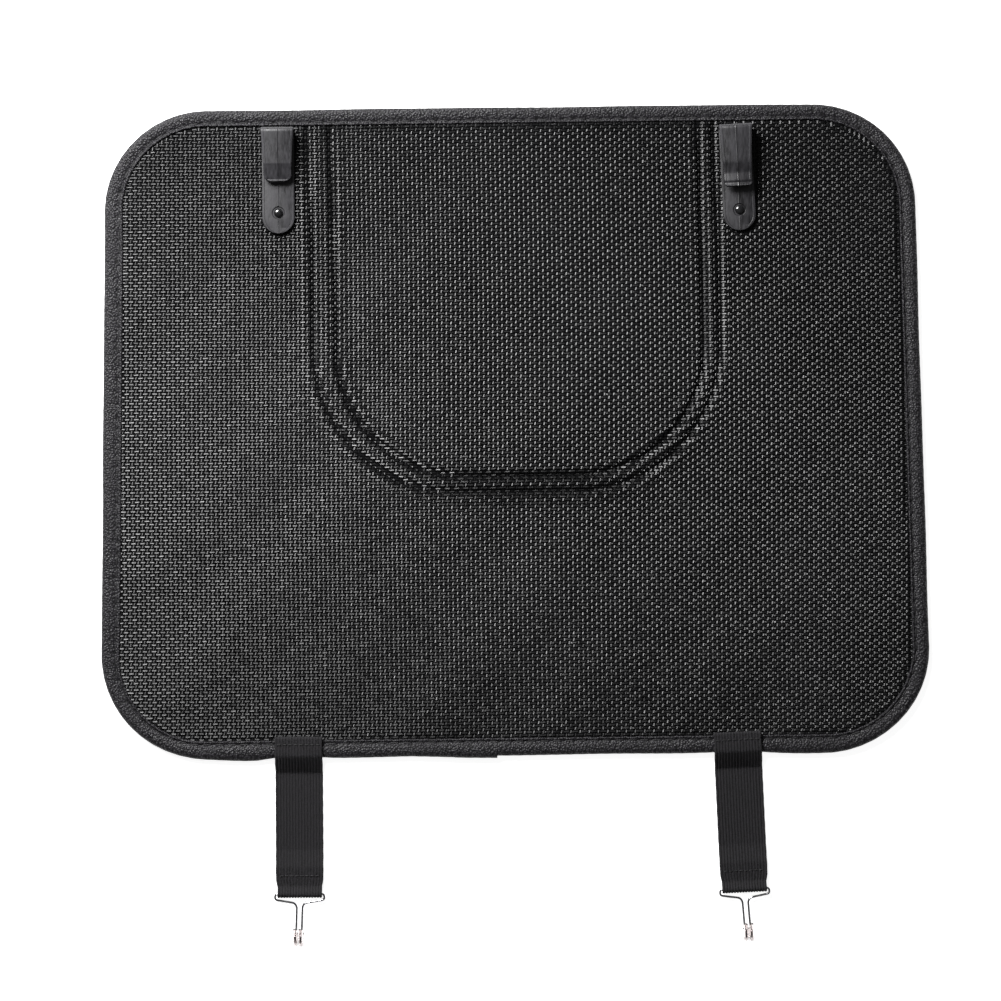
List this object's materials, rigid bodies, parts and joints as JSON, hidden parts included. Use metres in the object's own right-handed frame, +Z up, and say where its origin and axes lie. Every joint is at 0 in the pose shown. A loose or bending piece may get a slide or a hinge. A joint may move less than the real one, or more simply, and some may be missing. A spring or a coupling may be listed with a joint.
{
  "type": "car seat-back kick mat",
  "caption": "Woven kick mat with bound rounded edge and two pressed U grooves, two riveted plastic spring clips, and two elastic straps ending in wire hooks that swing.",
  "frame": {"origin": "middle of the bounding box, on the surface that the mat lies on", "axes": "+Z up out of the woven face that carries the clips, +Y from the strap hooks towards the edge with the clips, +X to the right seen from above"},
  "size_m": [0.4348, 0.4392, 0.0138],
  "materials": {
    "black_woven_pvc": "plain-woven coated yarn, glossy on its floats",
    "black_grained_binding": "finely grained synthetic leather tape",
    "black_clip_plastic": "moulded, satin",
    "black_rivet": "gloss black",
    "black_elastic": "ribbed woven elastic, matt",
    "chromed_wire": "bright plated wire",
    "clear_vinyl": "clear soft tube"
  },
  "bodies": {
    "mat": {"mat_panel": "black_woven_pvc", "edge_binding": "black_grained_binding", "left_clip": "black_clip_plastic", "right_clip": "black_clip_plastic", "left_rivet": "black_rivet", "right_rivet": "black_rivet", "left_strap": "black_elastic", "right_strap": "black_elastic"},
    "left_hook": {"left_wire_hook": "chromed_wire", "left_hook_left_sleeve": "clear_vinyl", "left_hook_right_sleeve": "clear_vinyl"},
    "right_hook": {"right_wire_hook": "chromed_wire", "right_hook_left_sleeve": "clear_vinyl", "right_hook_right_sleeve": "clear_vinyl"}
  },
  "joints": [
    {"name": "left_hook_swing", "type": "hinge", "parent": "mat", "child": "left_hook", "pos_m": [-0.11565, -0.19229, 0.0021], "axis": [-1, 0.0063, 0], "range_deg": [-100, 150]},
    {"name": "right_hook_swing", "type": "hinge", "parent": "mat", "child": "right_hook", "pos_m": [0.11783, -0.19224, 0.0021], "axis": [-0.9993, -0.0366, 0], "range_deg": [-100, 150]}
  ]
}
